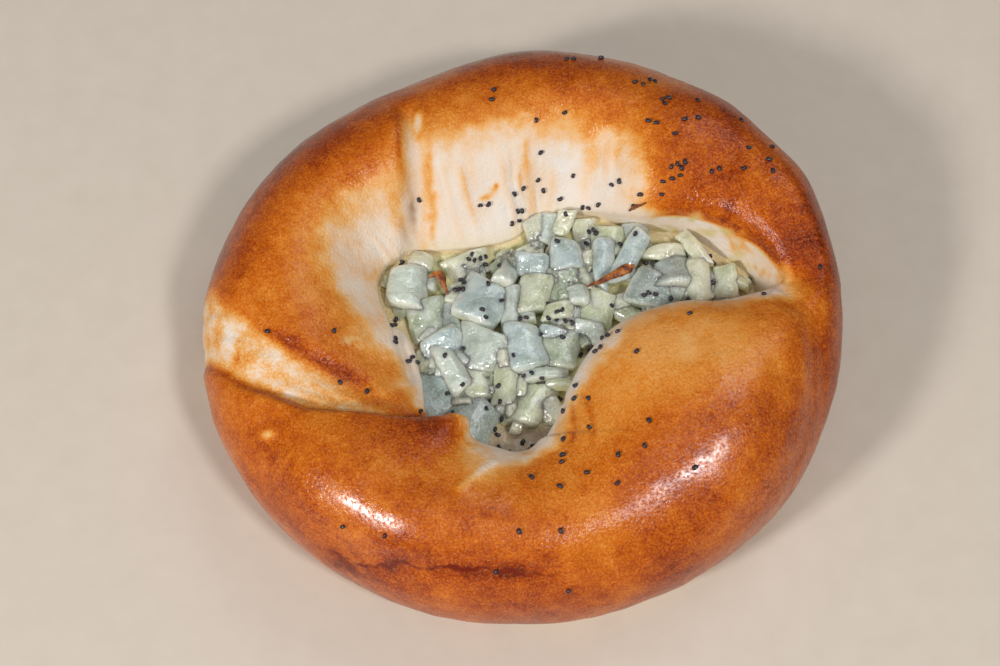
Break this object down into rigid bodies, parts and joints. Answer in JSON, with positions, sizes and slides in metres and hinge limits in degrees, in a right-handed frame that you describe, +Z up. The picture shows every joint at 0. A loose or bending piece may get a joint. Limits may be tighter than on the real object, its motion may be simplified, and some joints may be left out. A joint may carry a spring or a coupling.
{
  "type": "bialy",
  "caption": "Round baked roll with a folded, glossy brown rim and a hand-pressed well filled with chopped cooked onion, sprinkled with poppy seeds.",
  "frame": {"origin": "centre of the footprint, on the surface that the roll rests on", "axes": "+Z up, +X along the longest side, +Y away from the viewer of the picture"},
  "size_m": [0.1184, 0.1118, 0.0346],
  "materials": {
    "baked_crust": "glossy baked crust, orange brown on the crown, cream in the folds",
    "cooked_onion": "wet and translucent, pale green white",
    "toasted_onion": "dry and browned",
    "poppy_seed": "dull blue black",
    "flour_crumb": "dry meal and crumb along the foot"
  },
  "bodies": {
    "root": {"bialy_roll": "baked_crust", "onion_filling": "cooked_onion"}
  },
  "joints": []
}
